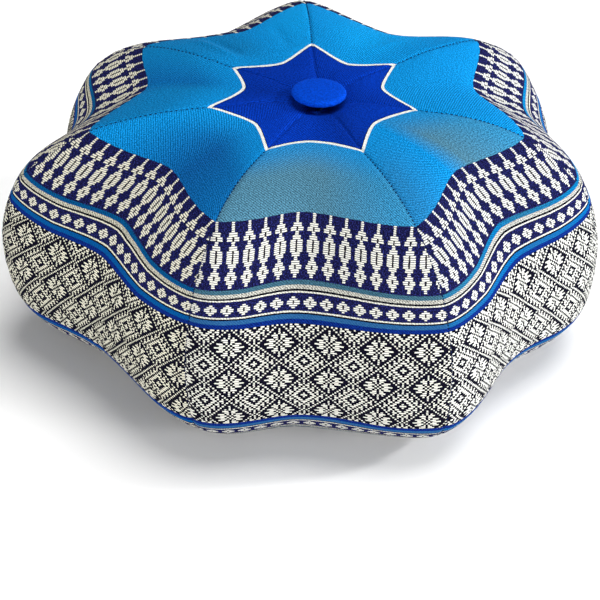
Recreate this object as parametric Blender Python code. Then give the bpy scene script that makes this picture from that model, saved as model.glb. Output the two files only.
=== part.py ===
"""A seven-lobed lotus zafu: a round floor cushion sewn from seven wedge-shaped panels.

Metres, +Z up. The floor is z = 0 and the cushion's own axis is x = y = 0.
The seams between the panels run down the crests of the lobes, and the middle of each
panel sinks into a soft valley. One seam points to +Y.
"""
import math

import bmesh
import bpy
import numpy as np

MM = 0.001

# Driving dimensions of the cushion.
PANELS = 7
HALF_PANEL = math.pi / PANELS
WIDTH = 0.430
HEIGHT = 0.184
COLUMNS_PER_PANEL = 12
SEAT_WELL_RADIUS = 6 * MM
SEAT_WELL_DEPTH = 10 * MM

# Driving dimensions of the covered button.
BUTTON_RADIUS = 19.6 * MM
BUTTON_THICKNESS = 3.8 * MM
BACK_ABOVE_TOP = 0.7 * MM
SHANK_RADIUS = 2.6 * MM
BUTTON_CENTRE = (3.0 * MM, 1.8 * MM)
BUTTON_SIDES = 48
SEATING_GAP = 0.3 * MM
# The thread pulls the button a little askew: it falls towards +X and towards +Y.
BUTTON_FALL = (math.tan(math.radians(2.0)), math.tan(math.radians(7.5)))

# The cushion's sections from the button down to the floor. Reach and bulge are shares of
# half the width and height a share of the full height. Bulge bows the side of a lobe
# outwards between valley and seam, soft rounds the bottom of the valley, and rings is how
# many rings of faces lie between a section and the next one.
SECTION_COLUMNS = ("seam_reach", "seam_height", "valley_reach", "valley_height", "bulge", "soft", "rings")
SECTIONS = {
    "press": (0.098, 0.990, 0.090, 0.987, 0.000, 0.14, 4),
    "star": (0.353, 1.000, 0.247, 1.000, 0.000, 0.14, 4),
    "crown": (0.549, 0.989, 0.414, 0.989, 0.005, 0.15, 4),
    "blue_edge": (0.725, 0.935, 0.576, 0.939, 0.015, 0.15, 3),
    "shoulder": (0.835, 0.857, 0.667, 0.864, 0.028, 0.22, 3),
    "border": (0.918, 0.771, 0.760, 0.789, 0.029, 0.24, 3),
    "lattice": (0.971, 0.647, 0.846, 0.664, 0.027, 0.35, 5),
    "belly": (1.000, 0.413, 0.884, 0.413, 0.032, 0.30, 5),
    "underside": (0.945, 0.163, 0.839, 0.200, 0.033, 0.25, 4),
    "turn_in": (0.819, 0.044, 0.720, 0.061, 0.027, 0.25, 3),
    "sole": (0.698, 0.000, 0.614, 0.000, 0.023, 0.30, 0),
}
STAR_SECTION = 2
LATTICE_SECTION = 7

# Hand-sewn unevenness: how far each seam and valley turns counter-clockwise, in degrees,
# and reaches out, in percent, at the star and at the lattice. Clockwise from +Y.
SEAMS = (
    # turn at star, turn at lattice, reach at star, reach at lattice
    (1.8, 3.6, 0.5, 0.7),
    (1.2, 1.8, 1.7, -1.5),
    (1.7, 1.2, -1.7, -3.4),
    (0.6, -0.2, 1.8, 2.0),
    (-1.2, 0.8, -0.2, -2.7),
    (-3.8, -4.6, 2.0, 5.6),
    (2.5, 2.4, -2.1, 1.2),
)
VALLEYS = (
    (-0.5, 0.1, -0.6, -1.8),
    (2.5, 2.6, -4.3, -1.8),
    (1.6, 0.0, 0.9, 0.4),
    (-3.4, -3.5, 2.7, 0.9),
    (-2.1, -2.1, 0.6, 0.8),
    (-2.2, -2.6, -0.3, 3.0),
    (0.9, 1.4, 1.9, 3.0),
)

# Surface finishes: linear colour, metallic, roughness.
FINISHES = {
    "woven_cotton": ((0.036, 0.270, 0.620), 0.0, 0.85),
    "button_cotton": ((0.003, 0.056, 0.720), 0.0, 0.80),
}


def remove_all_objects():
    for old_object in list(bpy.data.objects):
        bpy.data.objects.remove(old_object, do_unlink=True)


def make_material(name):
    colour, metallic, roughness = FINISHES[name]
    material = bpy.data.materials.new(name)
    material.use_nodes = True
    shader = material.node_tree.nodes["Principled BSDF"]
    shader.inputs["Base Color"].default_value = (*colour, 1.0)
    shader.inputs["Metallic"].default_value = metallic
    shader.inputs["Roughness"].default_value = roughness
    return material


def add_object(name, mesh_data, finish):
    """Turn a bmesh into a smooth-shaded object with its own material."""
    bmesh.ops.recalc_face_normals(mesh_data, faces=mesh_data.faces)
    mesh = bpy.data.meshes.new(name)
    mesh_data.to_mesh(mesh)
    mesh_data.free()
    mesh.shade_smooth()
    mesh.set_sharp_from_angle(angle=math.radians(50))
    mesh.materials.append(make_material(finish))
    new_object = bpy.data.objects.new(name, mesh)
    bpy.context.scene.collection.objects.link(new_object)
    return new_object


def section_table():
    """The sections in metres, topped by the rim of the well that the button sits in."""
    rows = [dict(zip(SECTION_COLUMNS, values)) for values in SECTIONS.values()]
    half_width = WIDTH / 2
    table = [[row["seam_reach"] * half_width, row["seam_height"] * HEIGHT,
              row["valley_reach"] * half_width, row["valley_height"] * HEIGHT,
              row["bulge"] * half_width, row["soft"]] for row in rows]
    well = [SEAT_WELL_RADIUS, HEIGHT - SEAT_WELL_DEPTH] * 2 + [0.0, table[0][5]]
    rings = [3] + [row["rings"] for row in rows]
    return np.array([well] + table), rings


def girth_positions(table):
    """Distance of each section from the first one, measured down the cushion."""
    middle = (table[:, 0:2] + table[:, 2:4]) / 2
    steps = np.linalg.norm(np.diff(middle, axis=0), axis=1)
    return np.concatenate(([0.0], np.cumsum(steps)))


def blend_sections(places, table, place):
    """Smooth curve through the sections, read at one place along the girth."""
    slopes = np.diff(table, axis=0) / np.diff(places)[:, None]
    spans = np.diff(places)[:, None]
    tangents = np.vstack((
        slopes[:1],
        (slopes[:-1] * spans[1:] + slopes[1:] * spans[:-1]) / (spans[:-1] + spans[1:]),
        slopes[-1:],
    ))
    lower = min(int(np.searchsorted(places, place, side="right")) - 1, len(places) - 2)
    span = places[lower + 1] - places[lower]
    t = (place - places[lower]) / span
    return ((2 * t**3 - 3 * t**2 + 1) * table[lower]
            + (t**3 - 2 * t**2 + t) * span * tangents[lower]
            + (3 * t**2 - 2 * t**3) * table[lower + 1]
            + (t**3 - t**2) * span * tangents[lower + 1])


def smooth_step(value):
    value = min(max(value, 0.0), 1.0)
    return value * value * (3 - 2 * value)


def lobe_rise(across, soft):
    """Rise of a lobe's side: 0 in the valley, 1 on the seam, with a rounded valley."""
    return (math.hypot(across, soft) - soft) / (math.hypot(1.0, soft) - soft)


def lobe_bulge(across):
    """Bowing of a lobe's side: 0 at both ends, 1 at its fullest, two thirds of the way."""
    return across**2 * (1 - across) * 27 / 4


def uneven(row, lowness):
    """Turn in radians and reach as a factor, between the star's and the lattice's."""
    turn_high, turn_low, reach_high, reach_low = row
    turn = turn_high + (turn_low - turn_high) * lowness
    reach = reach_high + (reach_low - reach_high) * lowness
    return math.radians(turn), 1 + reach / 100


def polar_point(radius, angle):
    return np.array((radius * math.cos(angle), radius * math.sin(angle)))


def surface_point(section, lowness, centre, panel, across):
    """A point on one panel: across runs from -1 on its first seam to 1 on the next."""
    seam_radius, seam_height, valley_radius, valley_height, bulge, soft = section
    seam = panel if across < 0 else panel + 1
    turn, reach = uneven(SEAMS[seam % PANELS], lowness)
    seam_point = polar_point(seam_radius * reach, math.pi / 2 - 2 * HALF_PANEL * seam + turn)
    turn, reach = uneven(VALLEYS[panel], lowness)
    valley_angle = math.pi / 2 - 2 * HALF_PANEL * (panel + 0.5) + turn
    valley_point = polar_point(valley_radius * reach, valley_angle)
    outward = polar_point(1.0, valley_angle)
    sideways = polar_point(1.0, valley_angle - math.pi / 2)
    to_seam = seam_point - valley_point
    rise = lobe_rise(abs(across), soft)
    forward = (to_seam @ outward) * rise + bulge * lobe_bulge(abs(across))
    flat = valley_point + outward * forward + sideways * (to_seam @ sideways) * abs(across)
    height = valley_height + (seam_height - valley_height) * rise
    return (flat[0] + centre[0], flat[1] + centre[1], max(height, 0.0))


def cushion_ring(places, table, place):
    """All points of one closed ring around the cushion."""
    section = blend_sections(places, table, place)
    star = places[STAR_SECTION]
    lattice = places[LATTICE_SECTION]
    lowness = smooth_step((place - star) / (lattice - star))
    fade = 1 - smooth_step(place / star)
    centre = (BUTTON_CENTRE[0] * fade, BUTTON_CENTRE[1] * fade)
    across_steps = np.linspace(-1, 1, COLUMNS_PER_PANEL + 1)[:-1]
    return [surface_point(section, lowness, centre, panel, across)
            for panel in range(PANELS) for across in across_steps]


def bridge_rings(mesh_data, upper, lower):
    for i in range(len(upper)):
        j = (i + 1) % len(upper)
        mesh_data.faces.new((upper[i], upper[j], lower[j], lower[i]))


def build_cushion():
    """One filled body: the well under the button, the lobes, and a flat sole."""
    table, rings = section_table()
    places = girth_positions(table)
    stops = [place for first, last, count in zip(places[:-1], places[1:], rings)
             for place in np.linspace(first, last, count, endpoint=False)] + [places[-1]]
    mesh_data = bmesh.new()
    loops = [[mesh_data.verts.new(point) for point in cushion_ring(places, table, stop)] for stop in stops]
    for upper, lower in zip(loops[:-1], loops[1:]):
        bridge_rings(mesh_data, upper, lower)
    mesh_data.faces.new(loops[0])
    mesh_data.faces.new(loops[-1])
    bmesh.ops.triangulate(mesh_data, faces=mesh_data.faces)
    return add_object("cushion", mesh_data, "woven_cotton")


# Half section of the button's disc: share of its radius and of its thickness.
DISC_SECTION = (
    (0.55, 0.00), (0.90, 0.03), (0.97, 0.14), (1.00, 0.38), (0.98, 0.62), (0.93, 0.78),
    (0.80, 0.88), (0.55, 0.95), (0.28, 0.99), (0.00, 1.00),
)


def button_profile():
    """Half section of the covered button, from the foot of its shank to its crown."""
    foot = HEIGHT - SEAT_WELL_DEPTH + SEATING_GAP
    back = HEIGHT + BACK_ABOVE_TOP
    shank = [(0.0, foot), (SHANK_RADIUS, foot), (SHANK_RADIUS, back)]
    disc = [(radius * BUTTON_RADIUS, back + height * BUTTON_THICKNESS) for radius, height in DISC_SECTION]
    return shank + disc


def build_button():
    """A cloth-covered button, a little askew, whose shank goes down into the well."""
    mesh_data = bmesh.new()
    points = [mesh_data.verts.new((radius, 0.0, height)) for radius, height in button_profile()]
    edges = [mesh_data.edges.new(pair) for pair in zip(points[:-1], points[1:])]
    bmesh.ops.spin(mesh_data, geom=points + edges, axis=(0, 0, 1), cent=(0, 0, 0),
                   angle=2 * math.pi, steps=BUTTON_SIDES, use_merge=True)
    bmesh.ops.remove_doubles(mesh_data, verts=mesh_data.verts, dist=0.01 * MM)
    for vert in mesh_data.verts:
        if vert.co.z > HEIGHT:
            vert.co.z -= BUTTON_FALL[0] * vert.co.x + BUTTON_FALL[1] * vert.co.y
    bmesh.ops.translate(mesh_data, verts=mesh_data.verts, vec=(*BUTTON_CENTRE, 0.0))
    return add_object("button", mesh_data, "button_cotton")


def main():
    remove_all_objects()
    build_cushion()
    build_button()


main()
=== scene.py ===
"""Dresses the lotus zafu: seven woven panels, their stitches, and the button on its shank."""

import math

import bmesh
import bpy
import numpy as np
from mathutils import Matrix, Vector


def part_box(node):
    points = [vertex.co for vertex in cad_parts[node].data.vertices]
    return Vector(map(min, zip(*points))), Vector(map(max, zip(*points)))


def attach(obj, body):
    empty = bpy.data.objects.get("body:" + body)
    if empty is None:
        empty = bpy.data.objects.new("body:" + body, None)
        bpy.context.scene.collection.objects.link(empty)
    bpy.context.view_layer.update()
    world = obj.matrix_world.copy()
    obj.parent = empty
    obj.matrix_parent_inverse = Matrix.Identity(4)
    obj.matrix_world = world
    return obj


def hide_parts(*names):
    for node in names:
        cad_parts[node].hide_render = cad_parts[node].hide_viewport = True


bl_info = {
    "name": "Lotus Zafu Maker",
    "version": (1, 0, 0),
    "blender": (4, 5, 0),
    "location": "3D View > Sidebar > Zafu",
    "description": "Sews a lotus-shaped floor cushion from striped, figured cotton",
    "category": "Add Mesh",
}

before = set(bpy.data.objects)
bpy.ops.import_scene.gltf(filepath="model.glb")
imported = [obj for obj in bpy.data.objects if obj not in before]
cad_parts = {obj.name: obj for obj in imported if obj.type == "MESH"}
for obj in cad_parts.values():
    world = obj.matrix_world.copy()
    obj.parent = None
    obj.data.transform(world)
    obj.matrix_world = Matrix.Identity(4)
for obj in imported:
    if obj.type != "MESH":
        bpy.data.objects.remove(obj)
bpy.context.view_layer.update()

MM = 0.001
PANELS = 7
HALF_PANEL = math.pi / PANELS
BUTTON_LOW, BUTTON_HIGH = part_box("button")
BUTTON_CENTRE = (BUTTON_LOW + BUTTON_HIGH) / 2

# The cushion's sections from the well under the button down to the centre of the sole, as
# in the solid. Reach and bulge are shares of half the width and height a share of the full
# height. Cloth is how far along the panel the section lies, in millimetres of flat cloth.
# Reaches, heights and bulges, and the unevenness below, are rounded results of a camera fit.
# Some of the softness, parts of the first two rows and the last two valleys' reach at the
# lattice were then set one by one.
SECTION_COLUMNS = ("seam_reach", "seam_height", "valley_reach", "valley_height", "bulge", "soft", "cloth")
SECTIONS = {
    "well": (0.028, 0.946, 0.028, 0.946, 0.000, 0.14, 6.0),
    "press": (0.098, 0.990, 0.090, 0.987, 0.000, 0.14, 21.0),
    "star": (0.353, 1.000, 0.247, 1.000, 0.000, 0.14, 55.0),
    "crown": (0.549, 0.989, 0.414, 0.989, 0.005, 0.15, 90.7),
    "blue_edge": (0.725, 0.935, 0.576, 0.939, 0.015, 0.15, 126.8),
    "shoulder": (0.835, 0.857, 0.667, 0.864, 0.028, 0.22, 150.6),
    "border": (0.918, 0.771, 0.760, 0.789, 0.029, 0.24, 174.0),
    "lattice": (0.971, 0.647, 0.846, 0.664, 0.027, 0.35, 205.0),
    "belly": (1.000, 0.413, 0.884, 0.413, 0.032, 0.30, 251.0),
    "underside": (0.945, 0.163, 0.839, 0.200, 0.033, 0.25, 291.0),
    "turn_in": (0.819, 0.044, 0.720, 0.061, 0.027, 0.25, 327.0),
    "sole": (0.698, 0.000, 0.614, 0.000, 0.023, 0.30, 352.0),
    "sole_centre": (0.001, 0.000, 0.001, 0.000, 0.000, 0.30, 484.0),
}
WIDTH = 0.430
HEIGHT = 0.184

# Hand-sewn unevenness, as in the solid, clockwise from the seam at +Y.
SEAMS = (
    # turn in degrees at star and lattice, reach in percent at star and lattice
    (1.8, 3.6, 0.5, 0.7),
    (1.2, 1.8, 1.7, -1.5),
    (1.7, 1.2, -1.7, -3.4),
    (0.6, -0.2, 1.8, 2.0),
    (-1.2, 0.8, -0.2, -2.7),
    (-3.8, -4.6, 2.0, 5.6),
    (2.5, 2.4, -2.1, 1.2),
)
VALLEYS = (
    (-0.5, 0.1, -0.6, -1.8),
    (2.5, 2.6, -4.3, -1.8),
    (1.6, 0.0, 0.9, 0.4),
    (-3.4, -3.5, 2.7, 0.9),
    (-2.1, -2.1, 0.6, 0.8),
    (-2.2, -2.6, -0.3, 3.0),
    (0.9, 1.4, 1.9, 3.0),
)

# The plain top of a panel is shot cotton: azure warp and sea green weft. These looks are lit
# and shaded copies of its blue: painted shade, and painted sheen where the weft shows, for how the cloth
# leans.
COTTON_SHOT_AND_SHADE_LOOKS = {
    "bright": "#0390D4",
    "azure": "#0481C4",
    "sea": "#0872AC",
    "ocean": "#075E9C",
    "deep": "#07518E",
    "steel": "#1C70A5",
    "slate": "#2F7EA9",
    "teal": "#46758C",
}
# Which look shows beside a panel's first seam, on either side of its valley, and beside its
# second seam: painted shade and sheen for the way each half-panel leans.
SHOT_AND_SHADE_BLUES = (
    ("azure", "bright", "bright", "azure"),
    ("azure", "azure", "azure", "azure"),
    ("slate", "teal", "azure", "steel"),
    ("slate", "teal", "teal", "teal"),
    ("ocean", "deep", "ocean", "azure"),
    ("sea", "sea", "ocean", "sea"),
    ("sea", "sea", "azure", "bright"),
)
# Where across a panel, from its first seam at -1 to its second at 1, those looks are pure.
LOOK_PLACES = (-0.85, -0.2, 0.08, 0.8)
# The same for the narrow stripes on the side, whose painted shade and sheen follow another lean.
STRIPE_SHOT_AND_SHADE_BLUES = (
    ("azure", "bright", "bright", "azure"),
    ("azure", "bright", "bright", "bright"),
    ("azure", "slate", "azure", "slate"),
    ("teal", "teal", "teal", "teal"),
    ("ocean", "ocean", "ocean", "ocean"),
    ("sea", "ocean", "ocean", "sea"),
    ("sea", "sea", "azure", "azure"),
)
# Painted shade on the star's blue for each panel, for how its wedges lean and, beside the button,
# its painted shadow: beside its first seam, in its valley and beside its second seam.
TONE_PLACES = (-0.7, 0.0, 0.7)
PAINTED_STAR_SHADES = (
    (0.86, 0.95, 1.08),
    (1.08, 1.00, 0.90),
    (1.00, 0.92, 0.74),
    (0.78, 1.00, 1.08),
    (1.18, 1.02, 0.92),
    (0.92, 0.76, 0.86),
    (0.86, 0.88, 0.96),
)
# Near the star the top is mostly clear azure. Where that starts to end, over what length of
# cloth, and where and over what length the side's looks take over, in millimetres.
STAR_CLEAR = 0.75
CLEAR_END, CLEAR_FADE = 57.0, 38.0
SIDE_START, SIDE_FADE = 135.0, 30.0
# The undyed yarn is yellower on some panels than on others.
IVORY = (0.1, 0.0, 0.0, 0.25, 0.8, 1.0, 0.6)
# How full the lattice's floats stand on each panel; thin ones leave more of the ground bare.
FULLNESS = (0.6, 1.0, 0.9, 0.25, 0.15, 0.1, 0.3)

# The panels are cut by hand. Where the cloth's repeat starts beside each panel's middle, and
# how much lower the stripes run on its first half, in its valley and on its second half, and
# the star's edge in its valley, in millimetres.
CUTTING = (
    # repeat, first half, valley, second half, star
    (1.5, 0.0, 0.0, 0.0, 1.0),
    (-3.0, 0.0, 0.0, 0.0, 1.0),
    (-5.7, 0.0, -1.5, 2.8, 0.8),
    (3.4, 1.5, 2.2, 2.6, 2.2),
    (-1.9, 2.5, -0.5, 2.4, 0.8),
    (2.5, 0.0, 0.0, 0.0, 1.0),
    (-4.0, 0.0, 0.0, 0.0, 0.8),
)
# How far the plain top's outer edge is drawn in towards the star on each panel: at its first
# seam, in its valley and at its second seam, in millimetres.
DRAWN_IN = (
    (6.0, 4.0, 0.0),
    (0.0, 0.0, 0.0),
    (0.0, 0.0, 0.0),
    (0.0, 0.0, 0.0),
    (0.0, 0.0, 0.0),
    (0.0, 0.0, 0.0),
    (0.0, 9.0, 6.0),
)

# Where each stripe of the cloth starts, in millimetres from the centre of the star.
STRIPE_STARTS = {
    "edge line": 52.2,
    "edging": 52.7,
    "sky": 55.0,
    "totems": 126.8,
    "aqua": 174.0,
    "lined": 177.6,
    "upper line": 180.7,
    "upper cord": 182.2,
    "flowers": 183.4,
    "lower cord": 196.0,
    "lower line": 197.2,
    "lower aqua": 198.4,
    "royal": 201.9,
    "field": 205.2,
}
# The stripes repeat themselves backwards beyond this place, in the lattice field.
FOLD_LINE = 244.5
TOTEM_START = STRIPE_STARTS["totems"]
TOTEM_END = STRIPE_STARTS["aqua"]
FLOWER_START = 185.9
FLOWER_END = 194.6
FIELD_START = STRIPE_STARTS["field"]
FIELD_END = FOLD_LINE + 1
# Both motifs repeat across the cloth at this pitch, and their charts count in its steps.
MOTIF_PITCH = 11.4
MOTIF_STEP = MOTIF_PITCH / 18
# Three motifs span one lattice repeat of 22 columns.
LATTICE_COLUMN = 3 * MOTIF_PITCH / 22
LATTICE_ROW = 1.45
LATTICE_MIDDLE = 248.0
LATTICE_OFFSET = 8.8
# How far a float ends short of its column, and how much bolder a full float's back stands.
FLOAT_GAP = 0.22
FLOAT_BODY = 0.18
# A chart's half-widths are stored as shares of this many steps, so that they fit a colour.
CHART_REACH = 10
# Just under a half, where the next bit of a row's code starts.
HALF_BIT = 0.499

# Weaver's chart of one totem: how many picks, half-width of the float and of the slot in
# it, both in motif steps.
TOTEM_CHART = (
    (5, 1.5, 0), (2, 4.3, 0), (2, 6.6, 1.0), (2, 1.7, 0), (2, 4.2, 0), (6, 6.5, 1.0), (2, 4.2, 0),
    (2, 1.7, 0), (2, 4.2, 0), (2, 6.5, 1.0), (2, 4.2, 0), (2, 1.7, 0), (1, 0.0, 0),
)
FLOWER_CHART = ((1, 1.6, 0), (1, 4.2, 0), (2, 6.8, 0.9), (1, 4.2, 0), (1, 1.6, 0))

# Weaver's chart of a quarter of the lattice repeat: W is a white float and . is the navy
# ground. It starts at the middle of a rosette and ends at the middle of a small diamond.
LATTICE_CHART = (
    ".W.WWWW...W.",
    "W.WWW....W.W",
    ".W.WWW..W..W",
    ".WW....W.W.W",
    ".WWW..W..WW.",
    "W.W..W.W.W.W",
    "W...W..WW.WW",
    "W..W.W.W.WW.",
    "..W..WW.WW..",
    ".W.W.W.WW..W",
    "W..WW.WW..WW",
)


def linear(hex_colour):
    """sRGB hex to a linear colour."""
    values = [int(hex_colour[i:i + 2], 16) / 255 for i in (1, 3, 5)]
    return tuple(v / 12.92 if v <= 0.04045 else ((v + 0.055) / 1.055) ** 2.4 for v in values)


def dye(name, description, hex_colour):
    """A colour that a user may change."""
    return bpy.props.FloatVectorProperty(
        name=name, description=description, subtype="COLOR", size=3, min=0, max=1,
        default=linear(hex_colour))


class ZafuClothSettings(bpy.types.PropertyGroup):
    star_blue: dye("Star blue", "Royal blue of the star", "#002C92")
    slot_dark: dye("Slot dark", "Warp that shows in the motifs' slots", "#1A1620")
    royal: dye("Royal", "Narrow royal blue stripe", "#08246E")
    navy: dye("Navy", "Ground of the figured bands", "#0B0B22")
    stripe_blue: dye("Stripe blue", "Clear blue that the lower aqua stripe tends to", "#0564BE")
    violet: dye("Violet", "Weft flecks in the navy ground", "#2C317C")
    ink: dye("Ink", "Ground of the lattice field and the thin lines", "#090814")
    cream: dye("Cream", "Undyed cotton floats and lines", "#DBDCD6")
    # Ivory is the yellower undyed yarn of some panels.
    ivory: dye("Ivory", "Undyed cotton yellowed by age", "#E4E1CA")
    seam_depth: bpy.props.FloatProperty(
        name="Seam depth", description="How far the stitches pull each seam in", unit="LENGTH",
        min=0.0, max=0.003, default=0.0009)
    pucker_height: bpy.props.FloatProperty(
        name="Pucker height", description="Height of the small puckers beside a seam",
        unit="LENGTH", min=0.0, max=0.002, default=0.00030)


class ZafuButtonSettings(bpy.types.PropertyGroup):
    blue: dye("Button blue", "Cotton over the button", "#003EB6")
    radius: bpy.props.FloatProperty(
        name="Button radius", description="Radius of the covered button", unit="LENGTH",
        default=(BUTTON_HIGH.x - BUTTON_LOW.x) / 2)
    thickness: bpy.props.FloatProperty(
        name="Button thickness", description="Thickness of its disc at the middle",
        unit="LENGTH", default=0.0058)


class ZafuStageSettings(bpy.types.PropertyGroup):
    elevation: bpy.props.FloatProperty(
        name="Elevation", description="Height of the camera above the horizon", subtype="ANGLE",
        default=math.radians(35.4))
    distance: bpy.props.FloatProperty(
        name="Distance", description="From the camera to the cushion's foot", unit="LENGTH",
        default=2.493)
    lens: bpy.props.FloatProperty(
        name="Lens", description="Focal length on a 36 mm sensor", unit="CAMERA", default=201.8)
    key_strength: bpy.props.FloatProperty(
        name="Key light", description="Strength of the wide soft key light", default=2.3)
    side_strength: bpy.props.FloatProperty(
        name="Side sun", description="Strength of the narrower light from the right", default=1.7)
    right_power: bpy.props.FloatProperty(
        name="Right light", description="Power of the low light on the right", unit="POWER",
        default=75.0)
    left_power: bpy.props.FloatProperty(
        name="Left light", description="Power of the low light on the left", unit="POWER",
        default=54.0)
    sky_strength: bpy.props.FloatProperty(
        name="Room light", description="Even light of the white room", default=0.2)
    floor_white: bpy.props.FloatProperty(
        name="Floor white", description="Reflectance of the floor", subtype="FACTOR",
        min=0, max=1, default=0.98)


def section_table():
    """Sections with lengths in metres and cloth places in millimetres."""
    rows = np.array(list(SECTIONS.values()))
    scale = [WIDTH / 2, HEIGHT, WIDTH / 2, HEIGHT, WIDTH / 2, 1.0, 1.0]
    return rows * scale


def girth_places(table):
    """How far each section lies from the first, down the middle between seam and valley."""
    middle = (table[:, 0:2] + table[:, 2:4]) / 2
    steps = np.linalg.norm(np.diff(middle, axis=0), axis=1)
    return np.concatenate(([0.0], np.cumsum(steps)))


def blend_sections(places, table, stops):
    """Smooth curve through the sections, read at many stops along the girth at once."""
    spans = np.diff(places)[:, None]
    slopes = np.diff(table, axis=0) / spans
    inner = (slopes[:-1] * spans[1:] + slopes[1:] * spans[:-1]) / (spans[:-1] + spans[1:])
    tangents = np.vstack((slopes[:1], inner, slopes[-1:]))
    lower = np.clip(np.searchsorted(places, stops, side="right") - 1, 0, len(places) - 2)
    span = spans[lower]
    t = (stops - places[lower])[:, None] / span
    return ((2 * t**3 - 3 * t**2 + 1) * table[lower]
            + (t**3 - 2 * t**2 + t) * span * tangents[lower]
            + (3 * t**2 - 2 * t**3) * table[lower + 1]
            + (t**3 - t**2) * span * tangents[lower + 1])


def smooth_step(value):
    value = np.clip(value, 0.0, 1.0)
    return value * value * (3 - 2 * value)


def uneven(row, lowness):
    """Turn in radians and reach as a factor, between the star's and the lattice's."""
    turn_high, turn_low, reach_high, reach_low = row
    turn = turn_high + (turn_low - turn_high) * lowness
    reach = reach_high + (reach_low - reach_high) * lowness
    return np.radians(turn), 1 + reach / 100


# The side of a lobe bows by part squared times its rest, which this brings to a peak of 1.
BOW_PEAK = 27 / 4


def polar(radius, angle):
    return np.stack((radius * np.cos(angle), radius * np.sin(angle)), axis=-1)


def panel_form(panel, stops, across):
    """Points of one panel as a grid of stops by columns, on the solid's own surface."""
    table = section_table()
    names = list(SECTIONS)
    places = girth_places(table)
    section = blend_sections(places, table, stops)
    seam_radius, seam_height, valley_radius, valley_height, bulge, soft = section.T[:6, :, None]
    star = places[names.index("star")]
    lattice = places[names.index("lattice")]
    sole = places[names.index("sole")]
    lowness = smooth_step((stops - star) / (lattice - star))
    fade = 1 - smooth_step(stops / star)
    # Towards the middle of the sole the unevenness dies out again.
    lowness_kept = 1 - smooth_step((stops - sole) / (places[-1] - sole))
    turn, reach = uneven(VALLEYS[panel], lowness)
    valley_angle = math.pi / 2 - 2 * HALF_PANEL * (panel + 0.5) + turn
    valley = polar(valley_radius[:, 0] * (1 + (reach - 1) * lowness_kept), valley_angle)
    outward = polar(1.0, valley_angle)
    sideways = polar(1.0, valley_angle - math.pi / 2)
    grid = np.zeros((len(stops), len(across), 3))
    for side, seam in ((-1, panel), (1, panel + 1)):
        turn, reach = uneven(SEAMS[seam % PANELS], lowness)
        seam_angle = math.pi / 2 - 2 * HALF_PANEL * seam + turn
        to_seam = polar(seam_radius[:, 0] * (1 + (reach - 1) * lowness_kept), seam_angle) - valley
        forward = (to_seam * outward).sum(axis=1)[:, None]
        beside = (to_seam * sideways).sum(axis=1)[:, None]
        columns = across < 0 if side < 0 else across >= 0
        part = np.abs(across[columns])[None, :]
        rise = (np.hypot(part, soft) - soft) / (np.hypot(1.0, soft) - soft)
        run = forward * rise + bulge * part**2 * (1 - part) * BOW_PEAK
        flat = valley[:, None] + outward[:, None] * run[..., None]
        flat = flat + sideways[:, None] * (beside * part)[..., None]
        grid[:, columns, :2] = flat + np.array(BUTTON_CENTRE[:2]) * fade[:, None, None]
        grid[:, columns, 2] = np.maximum(valley_height + (seam_height - valley_height) * rise, 0.0)
    return grid


# The filling pushes from a flat core, this share as wide as the cushion.
CORE_SHARE = 0.55


def lean_direction(points):
    """Which way the filling pushes the cloth at a point: up on the crown, out on the sides."""
    core = points * np.array((CORE_SHARE, CORE_SHARE, 0.0)) + np.array((0.0, 0.0, HEIGHT / 2))
    push = points - core
    return push / np.linalg.norm(push, axis=-1, keepdims=True)


# Soft lumps of the filling under the cloth: wave numbers per metre, phase and height.
LUMPS = (
    ((41.0, 23.0, 30.0), 0.4, 0.45 * MM),
    ((-29.0, 47.0, 18.0), 2.1, 0.40 * MM),
    ((67.0, -52.0, 41.0), 4.0, 0.28 * MM),
    ((-83.0, -71.0, 60.0), 1.2, 0.20 * MM),
    ((112.0, 94.0, -75.0), 5.3, 0.12 * MM),
)
# Soft folds of the cover: the panel, where each starts and ends across and along the cloth,
# its half-width and its height, in millimetres. A negative height is a trough.
FOLDS = (
    # panel, start u, start v, end u, end v, half-width, height
    (6, -26, 66, -40, 118, 4.0, 1.7),
    (6, -18, 70, -30, 122, 5.0, -1.7),
    (6, 16, 62, 24, 112, 5.0, -1.2),
    (0, 4, 70, 22, 112, 5.0, 0.6),
    (5, 2, 70, -4, 150, 5.0, -0.6),
    (4, -30, 150, -6, 200, 5.0, 0.7),
    (4, 0, 230, 6, 300, 4.0, -1.0),
    (3, 0, 215, -3, 280, 5.0, -0.6),
    (2, -8, 195, 2, 250, 4.0, -0.9),
    (2, 18, 215, 34, 262, 5.0, 0.6),
    (1, -4, 190, 4, 270, 5.0, -0.8),
    (0, -6, 190, 0, 270, 5.0, -0.8),
    (6, 2, 200, -5, 285, 5.0, -0.9),
    (5, 6, 195, 0, 280, 5.0, -0.8),
    (5, 0, 22, 2, 50, 4.0, -0.5),
    (4, -3, 22, -6, 52, 4.0, 0.5),
    (3, 3, 20, 8, 52, 4.0, 0.4),
    (2, 3, 24, 6, 52, 4.0, -0.4),
    (0, 0, 24, 2, 50, 4.0, 0.4),
)
# A fold rises and dies out over this share of its length.
FOLD_ENDS = 0.35

# A panel's columns crowd towards its seams by this share.
COLUMNS_PER_HALF = 44
CROWDING = 0.4
ROW_SPACING = 2.0 * MM
# Widths, pitches and reaches in millimetres of cloth.
SEAM_SPREAD = 2.2
SEAM_START = 16.0
PUCKER_PITCH = 7.2
PUCKER_REACH = 9.0
PUCKER_ROOT = 2.0
# The puckers' pitch drifts along the seam: by how much, and how fast.
PUCKER_DRIFT = 1.4
DRIFT_RATE = 0.31
# Folds keep this far from the seams, and lumps this far from the button.
FOLD_MARGIN = 12.0
LUMP_START, LUMP_FADE = 20.0, 25.0
# The surface relief dies out this near the floor.
FLOOR_REST = 6.0 * MM
# The first ring of a panel closes to this share of itself.
WELL_TIP = 0.03

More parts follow.
